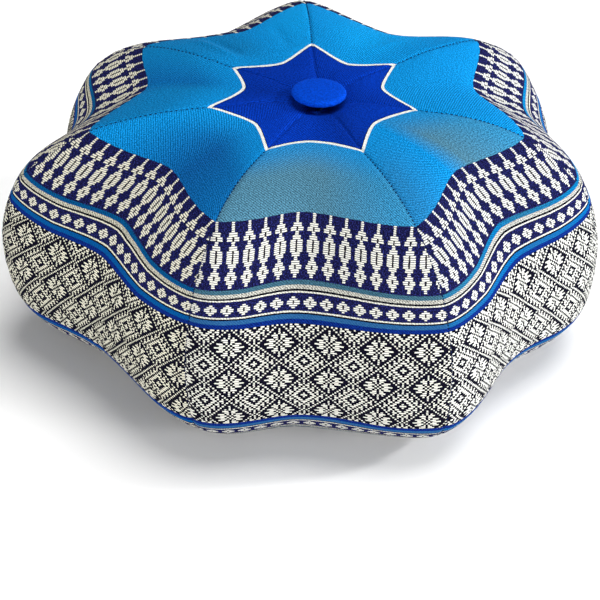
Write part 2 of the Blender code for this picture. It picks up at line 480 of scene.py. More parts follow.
# Where along the cloth the stripes' unevenness starts and ends, in millimetres: the place,
# and the length over which it comes or goes.
CUT_START, CUT_RISE, CUT_FALL = 100.0, 70.0, 40.0
ROUND_START, ROUND_RISE, ROUND_END, ROUND_FALL = 30.0, 15.0, 62.0, 25.0
RIM_START, RIM_RISE, RIM_END, RIM_FALL = 85.0, 35.0, 145.0, 50.0
# The star's edge is rounded over this share of a panel on either side of its valley.
ROUND_SPREAD = 0.3


def lumps_at(points):
    """Height of the filling's lumps, as a sum of slow waves."""
    height = np.zeros(points.shape[:-1])
    for waves, phase, size in LUMPS:
        height += size * np.sin(points @ np.array(waves) + phase)
    return height


def folds_at(panel, cloth_u, cloth_v):
    """Height of the soft folds, which fade out at their ends."""
    height = np.zeros(cloth_u.shape)
    for owner, start_u, start_v, end_u, end_v, half_width, size in FOLDS:
        if owner != panel:
            continue
        run_u, run_v = end_u - start_u, end_v - start_v
        length = math.hypot(run_u, run_v)
        off_u, off_v = cloth_u - start_u, cloth_v - start_v
        along = (off_u * run_u + off_v * run_v) / length**2
        aside = (off_u * run_v - off_v * run_u) / length
        ends = smooth_step(along / FOLD_ENDS) * smooth_step((1 - along) / FOLD_ENDS)
        height += size * MM * np.exp(-((aside / half_width) ** 2)) * ends
    return height


def stripe_ease(panel, across, cloth_v):
    """How much lower the stripes run on a hand-cut panel, in millimetres."""
    first, valley, second, star = CUTTING[panel][1:]
    ease = np.interp(across, (-1.0, -0.5, 0.0, 0.5, 1.0), (0.0, first, valley, second, 0.0))
    on_side = smooth_step((cloth_v - CUT_START) / CUT_RISE) * smooth_step((FOLD_LINE - cloth_v) / CUT_FALL)
    rounded = star * np.exp(-((across / ROUND_SPREAD) ** 2))[None, :]
    near_star = smooth_step((cloth_v - ROUND_START) / ROUND_RISE)
    near_star = near_star * (1 - smooth_step((cloth_v - ROUND_END) / ROUND_FALL))
    drawn = np.interp(across, (-1.0, 0.0, 1.0), DRAWN_IN[panel])[None, :]
    near_rim = smooth_step((cloth_v - RIM_START) / RIM_RISE)
    near_rim = near_rim * (1 - smooth_step((cloth_v - RIM_END) / RIM_FALL))
    return ease[None, :] * on_side + rounded * near_star - drawn * near_rim


def panel_surface(panel, seam_depth, pucker_height):
    """One panel: its points in metres, its cloth places across and along in millimetres, and
    where its columns lie between its two seams, from -1 to 1."""
    table = section_table()
    places = girth_places(table)
    stops = np.linspace(0, places[-1], int(places[-1] / ROW_SPACING))
    bends = np.linspace(0, 1, COLUMNS_PER_HALF + 1)
    crowded = (1 - CROWDING) * bends + CROWDING * np.sin(bends * math.pi / 2)
    across = np.concatenate((-crowded[::-1], crowded[1:]))
    grid = panel_form(panel, stops, across)
    middle = COLUMNS_PER_HALF
    cloth_u = np.zeros(grid.shape[:2])
    steps = np.linalg.norm(np.diff(grid, axis=1), axis=2)
    cloth_u[:, middle + 1:] = np.cumsum(steps[:, middle:], axis=1)
    cloth_u[:, :middle] = -np.cumsum(steps[:, :middle][:, ::-1], axis=1)[:, ::-1]
    cloth_u /= MM
    cloth_v = np.interp(stops, places, table[:, 6])[:, None] + np.zeros_like(cloth_u)
    to_edge = np.abs(np.where(cloth_u < 0, cloth_u - cloth_u[:, :1], cloth_u[:, -1:] - cloth_u))
    seam_fade = smooth_step((cloth_v - SEAM_START) / SEAM_START)
    groove = -seam_depth * np.exp(-((to_edge / SEAM_SPREAD) ** 2)) * seam_fade
    drift = np.sin(cloth_v * DRIFT_RATE + panel) * PUCKER_DRIFT
    pucker = np.cos(2 * math.pi * cloth_v / PUCKER_PITCH + drift) * np.exp(-to_edge / PUCKER_REACH)
    pucker *= pucker_height * (1 - np.exp(-((to_edge / PUCKER_ROOT) ** 2))) * seam_fade
    inner = 1 - np.exp(-((to_edge / FOLD_MARGIN) ** 2))
    settle = smooth_step(grid[..., 2] / FLOOR_REST)
    off_button = smooth_step((cloth_v - LUMP_START) / LUMP_FADE)
    soft = lumps_at(grid) * off_button + folds_at(panel, cloth_u, cloth_v) * inner
    grid = grid + lean_direction(grid) * ((groove + pucker + soft) * settle)[..., None]
    cloth_u = cloth_u - CUTTING[panel][0]
    cloth_v = cloth_v - stripe_ease(panel, across, cloth_v)
    return close_well(grid, cloth_u, cloth_v) + (across,)


def close_well(grid, cloth_u, cloth_v):
    """Adds a first row that draws the panel in to the middle of the well."""
    centre = np.array((BUTTON_CENTRE.x, BUTTON_CENTRE.y, grid[0, 0, 2]))
    tip = centre + (grid[:1] - centre) * WELL_TIP
    return (np.vstack((tip, grid)), np.vstack((cloth_u[:1] * WELL_TIP, cloth_u)),
            np.vstack((cloth_v[:1] * WELL_TIP, cloth_v)))


def mesh_grid(name, grids):
    """A mesh of quads over grids of points, stacked as (grid, row, column, axis)."""
    count, rows, columns = grids.shape[:3]
    index = np.arange(count * rows * columns).reshape(count, rows, columns)
    near, far = index[:, :-1], index[:, 1:]
    quads = np.stack((near[..., :-1], near[..., 1:], far[..., 1:], far[..., :-1]), axis=-1)
    mesh = bpy.data.meshes.new(name)
    mesh.from_pydata(grids.reshape(-1, 3).tolist(), [], quads.reshape(-1, 4).tolist())
    return mesh


WELD_DISTANCE = 0.001 * MM


def weld(mesh):
    """Joins the points that fall together, where a turned form closes on itself."""
    form = bmesh.new()
    form.from_mesh(mesh)
    bmesh.ops.remove_doubles(form, verts=form.verts, dist=WELD_DISTANCE)
    form.to_mesh(mesh)
    form.free()


def write_map(mesh, name, u, v):
    corners = np.zeros(len(mesh.loops), dtype=np.int32)
    mesh.loops.foreach_get("vertex_index", corners)
    layer = mesh.uv_layers.new(name=name)
    pairs = np.stack((u.ravel()[corners], v.ravel()[corners]), axis=-1).astype(np.float32)
    layer.uv.foreach_set("vector", pairs.ravel())


def write_values(mesh, name, values):
    layer = mesh.attributes.new(name, "FLOAT", "POINT")
    layer.data.foreach_set("value", values.ravel().astype(np.float32))


def write_colours(mesh, name, colours):
    layer = mesh.attributes.new(name, "FLOAT_COLOR", "POINT")
    full = np.concatenate((colours, np.ones(colours.shape[:-1] + (1,))), axis=-1)
    layer.data.foreach_set("color", full.ravel().astype(np.float32))


# The bake map, in shares of its square: the middle and the width of the panel's upper part and
# of its underside, and the margin and the length of both.
UPPER_MIDDLE, UPPER_WIDTH = 0.30, 0.58
UNDER_MIDDLE, UNDER_WIDTH = 0.805, 0.37
MAP_MARGIN, MAP_LENGTH = 0.01, 0.98
# Twice the widest place with some room, and the overlap at the fold line and the underside's
# length in millimetres.
MAP_ROOM = 2.06
MAP_OVERLAP = 4
UNDER_LENGTH = 242


def write_bake_map(mesh, cloth_u, cloth_v):
    """Lays the panel out for baking: its upper part on the left, its underside on the right."""
    corners = np.zeros(len(mesh.loops), dtype=np.int32)
    mesh.loops.foreach_get("vertex_index", corners)
    u = cloth_u.ravel()[corners].reshape(-1, 4)
    v = cloth_v.ravel()[corners].reshape(-1, 4)
    wide = np.abs(cloth_u).max() * MAP_ROOM
    upper = (v.mean(axis=1) < FOLD_LINE)[:, None]
    place_u = np.where(
        upper, UPPER_MIDDLE + UPPER_WIDTH * u / wide, UNDER_MIDDLE + UNDER_WIDTH * u / wide)
    run = np.where(upper, v / (FOLD_LINE + MAP_OVERLAP), (v - FOLD_LINE + MAP_OVERLAP) / UNDER_LENGTH)
    place_v = MAP_MARGIN + MAP_LENGTH * run
    layer = mesh.uv_layers.new(name="OFBake")
    layer.uv.foreach_set("vector", np.stack((place_u, place_v), axis=-1).astype(np.float32).ravel())


def place_piece(name, mesh, material):
    mesh.materials.append(material)
    mesh.shade_smooth()
    piece = bpy.data.objects.new(name, mesh)
    bpy.context.scene.collection.objects.link(piece)
    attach(piece, "root")
    return piece


def add_node(tree, kind, settings, *values):
    """Adds a node, sets it, fills or links its open sockets in order, and gives its output."""
    node = tree.nodes.new(kind)
    for name, value in settings.items():
        setattr(node, name, value)
    sockets = [socket for socket in node.inputs if socket.enabled]
    for socket, value in zip(sockets, values):
        if value is None:
            continue
        if isinstance(value, bpy.types.NodeSocket):
            tree.links.new(value, socket)
        else:
            socket.default_value = value
    return next(socket for socket in node.outputs if socket.enabled)


def read_value(tree, name):
    """Reads one of the cloth's own values, such as its age, at each point."""
    node = tree.nodes.new("ShaderNodeAttribute")
    node.attribute_name = name
    return node.outputs["Fac"]


COTTON_IOR = 1.5
# Loose fibres break nearly all of the surface's gloss up.
COTTON_GLOSS = 0.03


def start_material(name, roughness):
    """A matt cotton material with its tree and its shader, ready for a colour."""
    material = bpy.data.materials.new(name)
    material.use_nodes = True
    tree = material.node_tree
    shader = tree.nodes["Principled BSDF"]
    shader.inputs["Roughness"].default_value = roughness
    shader.inputs["IOR"].default_value = COTTON_IOR
    shader.inputs["Specular IOR Level"].default_value = COTTON_GLOSS
    return material, tree, shader


def chart_ramp(tree, row, rows, stops):
    """Looks a row of a weaver's chart up, whose stops are (first row, one value, another)."""
    place = add_node(tree, "ShaderNodeMath", {"operation": "DIVIDE"}, row, float(rows))
    node = tree.nodes.new("ShaderNodeValToRGB")
    tree.links.new(place, node.inputs["Fac"])
    node.color_ramp.interpolation = "CONSTANT"
    elements = node.color_ramp.elements
    elements.remove(elements[1])
    for number, (first, red, green) in enumerate(stops):
        element = elements[0] if number == 0 else elements.new(first / rows)
        element.position = first / rows
        element.color = (red, green, 0.0, 1.0)
    split = tree.nodes.new("ShaderNodeSeparateColor")
    tree.links.new(node.outputs["Color"], split.inputs["Color"])
    return split.outputs["Red"], split.outputs["Green"]


def pick_profile(tree, place):
    """Round back of each weft pick: 1 on its crest and 0 in the gap to the next one."""
    part = add_node(tree, "ShaderNodeMath", {"operation": "FRACT"}, place)
    part = add_node(tree, "ShaderNodeMath", {"operation": "MULTIPLY_ADD"}, part, 2.0, -1.0)
    square = add_node(tree, "ShaderNodeMath", {"operation": "MULTIPLY"}, part, part)
    return add_node(tree, "ShaderNodeMath", {"operation": "SUBTRACT"}, 1.0, square)


def motif_mask(tree, u, along, start, end, chart):
    """A motif that repeats across the cloth: its white floats, their backs and their slots."""
    rows = sum(row[0] for row in chart)
    row_height = (end - start) / rows
    offset = add_node(tree, "ShaderNodeMath", {"operation": "SUBTRACT"}, along, start)
    place = add_node(tree, "ShaderNodeMath", {"operation": "DIVIDE"}, offset, row_height)
    row = add_node(tree, "ShaderNodeMath", {"operation": "FLOOR"}, place)
    row_middle = add_node(tree, "ShaderNodeMath", {"operation": "ADD"}, row, 0.5)
    stops = []
    first = 0
    for count, half_width, slot in chart:
        stops.append((first, half_width / CHART_REACH, slot / CHART_REACH))
        first += count
    half_width, slot = chart_ramp(tree, row_middle, rows, stops)
    folded = add_node(tree, "ShaderNodeMath", {"operation": "PINGPONG"}, u, MOTIF_PITCH / 2)
    step = add_node(tree, "ShaderNodeMath", {"operation": "DIVIDE"}, folded, MOTIF_STEP * CHART_REACH)
    inside = add_node(tree, "ShaderNodeMath", {"operation": "LESS_THAN"}, step, half_width)
    outside = add_node(tree, "ShaderNodeMath", {"operation": "GREATER_THAN"}, step, slot)
    floats = add_node(tree, "ShaderNodeMath", {"operation": "MULTIPLY"}, inside, outside)
    opening = add_node(tree, "ShaderNodeMath", {"operation": "LESS_THAN"}, step, slot)
    return floats, pick_profile(tree, place), opening


def chart_bit(tree, across, code):
    """Whether the lattice chart is white at a place across the cloth, in a row's code."""
    reach = LATTICE_COLUMN * (len(LATTICE_CHART[0]) - 1)
    across = add_node(tree, "ShaderNodeMath", {"operation": "PINGPONG"}, across, reach)
    across = add_node(tree, "ShaderNodeMath", {"operation": "DIVIDE"}, across, LATTICE_COLUMN)
    column = add_node(tree, "ShaderNodeMath", {"operation": "ROUND"}, across)
    power = add_node(tree, "ShaderNodeMath", {"operation": "POWER"}, 2.0, column)
    shifted = add_node(tree, "ShaderNodeMath", {"operation": "MULTIPLY"}, code, power)
    rest = add_node(tree, "ShaderNodeMath", {"operation": "FRACT"}, shifted)
    return add_node(tree, "ShaderNodeMath", {"operation": "GREATER_THAN"}, rest, HALF_BIT)


def lattice_mask(tree, u, v):
    """The rosette lattice, read bit by bit from its quarter chart: its floats and their backs.

    It has no slots, so the third value is None.
    """
    rows = len(LATTICE_CHART)
    from_middle = add_node(tree, "ShaderNodeMath", {"operation": "SUBTRACT"}, LATTICE_MIDDLE, v)
    from_middle = add_node(tree, "ShaderNodeMath", {"operation": "ABSOLUTE"}, from_middle)
    place = add_node(tree, "ShaderNodeMath", {"operation": "DIVIDE"}, from_middle, LATTICE_ROW)
    folded = add_node(tree, "ShaderNodeMath", {"operation": "PINGPONG"}, place, float(rows - 1))
    row = add_node(tree, "ShaderNodeMath", {"operation": "ROUND"}, folded)
    row = add_node(tree, "ShaderNodeMath", {"operation": "ADD"}, row, 0.5)
    codes = [sum(2 ** -(i + 1) for i, mark in enumerate(line) if mark == "W") for line in LATTICE_CHART]
    code = chart_ramp(tree, row, rows, [(i, value, 0.0) for i, value in enumerate(codes)])[0]
    # A float ends a little short of its column on either side, so neighbours stay apart.
    fullness = read_value(tree, "fullness")
    gap = add_node(tree, "ShaderNodeMath", {"operation": "MULTIPLY_ADD"}, fullness, -FLOAT_GAP, FLOAT_GAP)
    across = add_node(tree, "ShaderNodeMath", {"operation": "SUBTRACT"}, u, LATTICE_OFFSET)
    left = add_node(tree, "ShaderNodeMath", {"operation": "ADD"}, across, gap)
    right = add_node(tree, "ShaderNodeMath", {"operation": "SUBTRACT"}, across, gap)
    floats = add_node(
        tree, "ShaderNodeMath", {"operation": "MULTIPLY"}, chart_bit(tree, left, code),
        chart_bit(tree, right, code))
    pick = add_node(tree, "ShaderNodeMath", {"operation": "ADD"}, place, 0.5)
    profile = pick_profile(tree, pick)
    back = add_node(tree, "ShaderNodeMath", {"operation": "MULTIPLY_ADD"}, fullness, FLOAT_BODY, profile)
    return floats, back, None


def band(tree, along, start, end):
    """1 inside a stretch of the cloth, 0 outside it."""
    middle, reach = (start + end) / 2, (end - start) / 2
    return add_node(tree, "ShaderNodeMath", {"operation": "COMPARE"}, along, middle, reach)


def blend(tree, factor, first, second):
    """Mixes two colours, each a socket or three numbers, by a factor."""
    paints = [paint if isinstance(paint, bpy.types.NodeSocket) else (*paint, 1) for paint in (first, second)]
    return add_node(tree, "ShaderNodeMix", {"data_type": "RGBA"}, factor, *paints)


def shade(colour, share):
    return tuple(channel * share for channel in colour)


def toned(tree, colour, low, high, factor, paling=0.0):
    """Makes a colour darker or lighter: its share goes from low to high with the factor.

    Paling is how much saturation the light yarns lose and the dark gaps gain.
    """
    share = add_node(tree, "ShaderNodeMath", {"operation": "MULTIPLY_ADD"}, factor, high - low, low)
    purity = add_node(
        tree, "ShaderNodeMath", {"operation": "MULTIPLY_ADD"}, factor, -2 * paling, 1 + paling)
    return add_node(tree, "ShaderNodeHueSaturation", {}, 0.5, purity, share, 1.0, colour)


# Hand-woven cloth wanders a little, and the ends of its floats fray: noise scales for each
# millimetre of cloth, and how far either goes, in millimetres.
WANDER_SCALE, WANDER = 0.35, 0.25
FRAY_SCALE, FRAY = 1.3, 0.6
# Twill ribs at 45 degrees to the warp, drawn at 1.5 mm so that they still show.
RIB_PITCH = 1.5
RIB_SHARE = 0.22
# Slubs and loose fibres, drawn at about 1 mm; the real yarn is half as thick.
SLUB_SCALE = 1.0
# Which part of the weave's noise goes from its darkest to its lightest, and of the flecks'.
WEAVE_RANGE = (0.48, 0.80)
FLECK_RANGE = (0.48, 0.68)
# How thick a float has to stand to cover the ground.
FLOAT_RANGE = (0.38, 0.60)
# Share of each yarn's own colour from the gaps between yarns to their crests: random slub grain,
# and painted shade in the gaps of the ribs and picks with painted light on their crests.
SKY_TONES = (0.31, 1.58)
STAR_YARN_TONES = (0.55, 1.7)
AQUA_TONES = (0.30, 0.80)
ROYAL_TONES = (0.5, 1.4)
EDGING_TONES = (0.8, 1.25)
LINED_TONES = (0.10, 0.85)
CORD_TONES = (0.42, 1.08)
YARN_TONES = (0.62, 1.03)
CLOTH_TONES = (0.82, 1.04)
SKY_PALING = 0.01
STAR_PALING = 0.004
LOWER_AQUA_SHARE = 0.6
# A float stands this far proud, in metres, and a rib a quarter of that.
FLOAT_HEIGHT = 0.0003
RIB_HEIGHT = 0.25
CLOTH_BUMP = 0.5


def woven_cotton(settings):
    """Figured cotton: a shot blue ground with undyed weft floats on navy bands.

    Matt yarn with hardly any gloss. Each white bar is a weft pick that floats over the navy
    ground and stands a little proud of it, and the plain blue shows fine twill ribs.
    """
    material, tree, shader = start_material("figured_cotton", 0.88)
    cloth = add_node(tree, "ShaderNodeUVMap", {"uv_map": "cloth"})
    split = tree.nodes.new("ShaderNodeSeparateXYZ")
    tree.links.new(cloth, split.inputs[0])
    flat = {"noise_dimensions": "2D"}
    wander = add_node(tree, "ShaderNodeTexNoise", flat, cloth, WANDER_SCALE, 2.0)
    wander = add_node(tree, "ShaderNodeMath", {"operation": "MULTIPLY_ADD"}, wander, 2 * WANDER, -WANDER)
    frayed = add_node(tree, "ShaderNodeTexNoise", flat, cloth, FRAY_SCALE, 1.0)
    frayed = add_node(tree, "ShaderNodeMath", {"operation": "MULTIPLY_ADD"}, frayed, 2 * FRAY, -FRAY)
    u = add_node(tree, "ShaderNodeMath", {"operation": "ADD"}, split.outputs["X"], wander)
    u = add_node(tree, "ShaderNodeMath", {"operation": "ADD"}, u, frayed)
    v = add_node(tree, "ShaderNodeMath", {"operation": "ADD"}, split.outputs["Y"], wander)
    from_fold = add_node(tree, "ShaderNodeMath", {"operation": "SUBTRACT"}, v, FOLD_LINE)
    from_fold = add_node(tree, "ShaderNodeMath", {"operation": "ABSOLUTE"}, from_fold)
    along = add_node(tree, "ShaderNodeMath", {"operation": "SUBTRACT"}, FOLD_LINE, from_fold)

    diagonal = add_node(tree, "ShaderNodeMath", {"operation": "ADD"}, split.outputs["X"], split.outputs["Y"])
    ribs = add_node(tree, "ShaderNodeMath", {"operation": "DIVIDE"}, diagonal, RIB_PITCH * math.sqrt(2))
    ribs = pick_profile(tree, ribs)
    slubs = add_node(tree, "ShaderNodeTexNoise", flat, cloth, SLUB_SCALE, 3.0, 0.7)
    weave = add_node(tree, "ShaderNodeMath", {"operation": "MULTIPLY_ADD"}, ribs, RIB_SHARE, slubs)
    weave = add_node(tree, "ShaderNodeMapRange", {}, weave, *WEAVE_RANGE, 0.0, 1.0)
    flecks = add_node(tree, "ShaderNodeMapRange", {}, slubs, *FLECK_RANGE, 0.0, 1.0)

    # The shot blue holds painted shade and painted sheen for each half-panel's lean; the aqua stripes take
    # it too.
    sky = add_node(tree, "ShaderNodeAttribute", {"attribute_name": "shot_blue_and_shade"})
    navy = blend(tree, flecks, settings.navy, settings.violet)
    # The lattice's ground runs from near-black ink to navy: its dark warp, and painted shade in the hollows
    # between floats.
    ground = blend(tree, flecks, settings.ink, settings.navy)
    aqua = toned(tree, sky, *AQUA_TONES, weave)
    royal = blend(tree, weave, *(shade(settings.royal, tone) for tone in ROYAL_TONES))
    lower_aqua = blend(tree, 0.5, aqua, shade(settings.stripe_blue, LOWER_AQUA_SHARE))
    star = toned(tree, (*settings.star_blue, 1), *STAR_YARN_TONES, weave, STAR_PALING)
    # The star's blue is darkened or lightened by its painted shade and the button's painted shadow.
    star_painted_shade = read_value(tree, "star_painted_shade")
    star = add_node(tree, "ShaderNodeHueSaturation", {}, 0.5, 1.0, star_painted_shade, 1.0, star)
    sky = toned(tree, sky, *SKY_TONES, weave, SKY_PALING)
    cream = blend(tree, read_value(tree, "ivory"), settings.cream, settings.ivory)
    edging = toned(tree, (*settings.cream, 1), *EDGING_TONES, weave)
    lined = toned(tree, cream, *LINED_TONES, weave)
    cord = toned(tree, cream, *CORD_TONES, weave)

    paints = {
        "edge line": settings.ink, "edging": edging, "sky": sky, "totems": navy, "aqua": aqua,
        "lined": lined, "upper line": settings.ink, "upper cord": cord, "flowers": navy,
        "lower cord": cord, "lower line": settings.ink, "lower aqua": lower_aqua,
        "royal": royal, "field": ground,
    }
    colour = star
    for stripe, start in STRIPE_STARTS.items():
        passed = add_node(tree, "ShaderNodeMath", {"operation": "GREATER_THAN"}, along, start)
        colour = blend(tree, passed, colour, paints[stripe])

    floats = 0.0
    for (mask, back, opening), start, end in (
            (motif_mask(tree, u, along, TOTEM_START, TOTEM_END, TOTEM_CHART), TOTEM_START, TOTEM_END),
            (motif_mask(tree, u, along, FLOWER_START, FLOWER_END, FLOWER_CHART), FLOWER_START, FLOWER_END),
            (lattice_mask(tree, u, v), FIELD_START, FIELD_END)):
        within = band(tree, along, start, end)
        here = add_node(tree, "ShaderNodeMath", {"operation": "MULTIPLY"}, mask, within)
        crest = add_node(tree, "ShaderNodeMath", {"operation": "MULTIPLY"}, here, back)
        floats = add_node(tree, "ShaderNodeMath", {"operation": "ADD"}, floats, crest)
        if opening:
            dark = add_node(tree, "ShaderNodeMath", {"operation": "MULTIPLY"}, opening, within)
            colour = blend(tree, dark, colour, settings.slot_dark)
    shown = add_node(tree, "ShaderNodeMapRange", {}, floats, *FLOAT_RANGE, 0.0, 1.0)
    # The floats' cream is painted darker towards each pick's edges and lighter on its crest, as shade and
    # light.
    yarn = toned(tree, cream, *YARN_TONES, floats)
    colour = blend(tree, shown, colour, yarn)

    low, high = CLOTH_TONES
    value = add_node(tree, "ShaderNodeMath", {"operation": "MULTIPLY_ADD"}, weave, high - low, low)
    colour = add_node(tree, "ShaderNodeHueSaturation", {}, 0.5, 1.0, value, 1.0, colour)
    height = add_node(tree, "ShaderNodeMath", {"operation": "MULTIPLY_ADD"}, ribs, RIB_HEIGHT, floats)
    bump = add_node(tree, "ShaderNodeBump", {}, CLOTH_BUMP, FLOAT_HEIGHT, 1.0, height)
    tree.links.new(colour, shader.inputs["Base Color"])
    tree.links.new(bump, shader.inputs["Normal"])
    return material


def spread_looks(names, across):
    """Colours across a panel, between the four looks that are named for it."""
    looks = [linear(COTTON_SHOT_AND_SHADE_LOOKS[name]) for name in names]
    return np.stack([np.interp(across, LOOK_PLACES, channel) for channel in zip(*looks)], axis=-1)[None]


def shot_and_shade_blues(panel, across, cloth_v):
    """The shot cotton's colour over a panel, with its painted shade and sheen; near the star it turns back
    to clear blue.
    """
    top = spread_looks(SHOT_AND_SHADE_BLUES[panel], across)
    side = spread_looks(STRIPE_SHOT_AND_SHADE_BLUES[panel], across)
    clear = np.array(linear(COTTON_SHOT_AND_SHADE_LOOKS["azure"]))
    near_star = STAR_CLEAR * (1 - smooth_step((cloth_v - CLEAR_END) / CLEAR_FADE))[..., None]
    lowness = smooth_step((cloth_v - SIDE_START) / SIDE_FADE)[..., None]
    return (top * (1 - near_star) + clear * near_star) * (1 - lowness) + side * lowness


def painted_star_shades(panel, across, cloth_v):
    """Painted shade on the star's blue over a panel, softly from seam to seam."""
    return np.interp(across, TONE_PLACES, PAINTED_STAR_SHADES[panel])[None] + np.zeros_like(cloth_v)


class ZAFU_OT_sew_panels(bpy.types.Operator):
    """Cut and sew the seven panels of striped cotton over the filling"""
    bl_idname = "zafu.sew_panels"
    bl_label = "Sew panels"

    def execute(self, context):
        settings = context.scene.zafu_cloth
        material = woven_cotton(settings)
        for panel in range(PANELS):
            grid, cloth_u, cloth_v, across = panel_surface(
                panel, settings.seam_depth, settings.pucker_height)
            mesh = mesh_grid(f"panel_{panel + 1}", grid[None])
            write_map(mesh, "cloth", cloth_u, cloth_v)
            write_bake_map(mesh, cloth_u, cloth_v)
            write_values(mesh, "ivory", np.full(cloth_u.shape, IVORY[panel]))
            write_values(mesh, "fullness", np.full(cloth_u.shape, FULLNESS[panel]))
            write_colours(mesh, "shot_blue_and_shade", shot_and_shade_blues(panel, across, cloth_v))
            write_values(mesh, "star_painted_shade", painted_star_shades(panel, across, cloth_v))
            piece = place_piece(f"panel_{panel + 1}", mesh, material)
            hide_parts("cushion")
        return {"FINISHED"}


# Hand stitches that close each seam, from the star's edge to the sole. They are drawn a
# little coarse, so that they show as dots in the seam's groove.
STITCH_START = 57.0
STITCH_END = 345.0
STITCH_PITCH = 3.1
STITCH_HALF_LENGTH = 0.85 * MM
STITCH_RADIUS = 0.55 * MM
STITCH_SIDES = 6
# A stitch points to the place on the seam this far ahead, in millimetres of cloth.
STITCH_AHEAD = 1.0
# Half section of one stitch: share of its half length and of its radius.
STITCH_SECTION = np.array(((-1.0, 0.0), (-0.8, 0.7), (0.0, 1.0), (0.8, 0.7), (1.0, 0.0)))


def seam_stitches(seam_line, cloth_v):
    """Grids of points of the stitches that sit along one seam."""
    stops = np.arange(STITCH_START, STITCH_END, STITCH_PITCH)
    line = np.stack([np.interp(stops, cloth_v, axis) for axis in seam_line.T], axis=-1)
    further = [np.interp(stops + STITCH_AHEAD, cloth_v, axis) for axis in seam_line.T]
    ahead = np.stack(further, axis=-1) - line
    ahead /= np.linalg.norm(ahead, axis=1, keepdims=True)
    outward = lean_direction(line)
    outward -= (outward * ahead).sum(axis=1, keepdims=True) * ahead
    outward /= np.linalg.norm(outward, axis=1, keepdims=True)
    beside = np.cross(ahead, outward)
    turns = np.linspace(0, 2 * math.pi, STITCH_SIDES + 1)
    length = STITCH_SECTION[:, 0, None] * STITCH_HALF_LENGTH
    radius = STITCH_SECTION[:, 1, None] * STITCH_RADIUS
    along = length * np.ones_like(turns)
    up = radius * np.sin(turns)
    aside = radius * np.cos(turns)
    parts = ((along, ahead), (up, outward), (aside, beside))
    return line[:, None, None] + sum(size[None, :, :, None] * way[:, None, None] for size, way in parts)


# The thread's twist, drawn at about 0.7 mm: noise scale for each metre, and its two blues.
TWIST_SCALE = 1400.0
THREAD_BLUES = ("#020C28", "#08204C")


def thread_cotton():
    """Spun cotton sewing thread: dark blue and matt, a little smoother than the cloth."""
    material, tree, shader = start_material("sewing_thread", 0.6)
    place = tree.nodes.new("ShaderNodeTexCoord").outputs["Object"]
    twist = add_node(tree, "ShaderNodeTexNoise", {}, place, TWIST_SCALE, 2.0)
    colour = blend(tree, twist, *map(linear, THREAD_BLUES))
    tree.links.new(colour, shader.inputs["Base Color"])
    return material


class ZAFU_OT_stitch_seams(bpy.types.Operator):
    """Close the seven seams with small hand stitches"""
    bl_idname = "zafu.stitch_seams"
    bl_label = "Stitch seams"

    def execute(self, context):
        settings = context.scene.zafu_cloth
        stitches = []
        for seam in range(PANELS):
            grid, _, cloth_v, _ = panel_surface(seam, settings.seam_depth, settings.pucker_height)
            stitches.append(seam_stitches(grid[1:, 0], cloth_v[1:, 0]))
        mesh = mesh_grid("seam_thread", np.concatenate(stitches))
        weld(mesh)
        place_piece("seam_thread", mesh, thread_cotton())
        return {"FINISHED"}


# Half section of the button's disc, as in the solid: share of its radius and thickness.
DISC_SECTION = (
    (0.0, 0.00), (0.55, 0.00), (0.90, 0.03), (0.97, 0.14), (1.00, 0.38), (0.98, 0.62), (0.93, 0.78),
    (0.80, 0.88), (0.55, 0.95), (0.28, 0.99), (0.0, 1.00),
)
BUTTON_BACK = HEIGHT + 1.7 * MM
BUTTON_FOOT = BUTTON_LOW.z
# The thread pulls the button a little askew: it falls towards +X and towards +Y.
BUTTON_FALL = (math.tan(math.radians(2.0)), math.tan(math.radians(4.0)))
BUTTON_SPOKES = 120
RINGS_PER_SPAN = 5
# The cloth gathers under the rim: how often, how deep, and where on the disc's thickness.
GATHERS = 19
GATHER_DEPTH = 0.012
GATHER_PLACE, GATHER_SPREAD = 0.2, 0.2
RIM_SHARE = 0.8
# The shank is wound with thread.
SHANK_RADIUS = 2.5 * MM
THREAD_TURN = 1.0 * MM
THREAD_SWELL = 0.25 * MM
SHANK_RINGS = 80
SHANK_SPOKES = 32
# The cover's yarn grain, drawn at about 1 mm: noise scale for each metre, which part of the
# noise it takes, its darkest and lightest tone, and its bump.
GRAIN_SCALE = 900.0
GRAIN_RANGE = (0.38, 0.62)
GRAIN_TONES = (0.75, 1.25)
GRAIN_BUMP, GRAIN_HEIGHT = 0.3, 0.0002


def button_cotton(settings):
    """Plain-woven cotton pulled tight over a button: even, matt, and a little brighter."""
    material, tree, shader = start_material("button_cotton", 0.8)
    place = tree.nodes.new("ShaderNodeTexCoord").outputs["Object"]
    grain = add_node(tree, "ShaderNodeTexNoise", {}, place, GRAIN_SCALE, 3.0)
    grain = add_node(tree, "ShaderNodeMapRange", {}, grain, *GRAIN_RANGE, 0.0, 1.0)
    colour = blend(tree, grain, *(shade(settings.blue, tone) for tone in GRAIN_TONES))
    bump = add_node(tree, "ShaderNodeBump", {}, GRAIN_BUMP, GRAIN_HEIGHT, 1.0, grain)
    tree.links.new(colour, shader.inputs["Base Color"])
    tree.links.new(bump, shader.inputs["Normal"])
    return material


def disc_outline():
    """The disc's half section, rounded to many points: shares of radius and thickness."""
    section = np.array(DISC_SECTION)
    knots = np.arange(len(section), dtype=float)
    fine = np.linspace(0, knots[-1], RINGS_PER_SPAN * (len(section) - 1) + 1)
    return blend_sections(knots, section, fine)


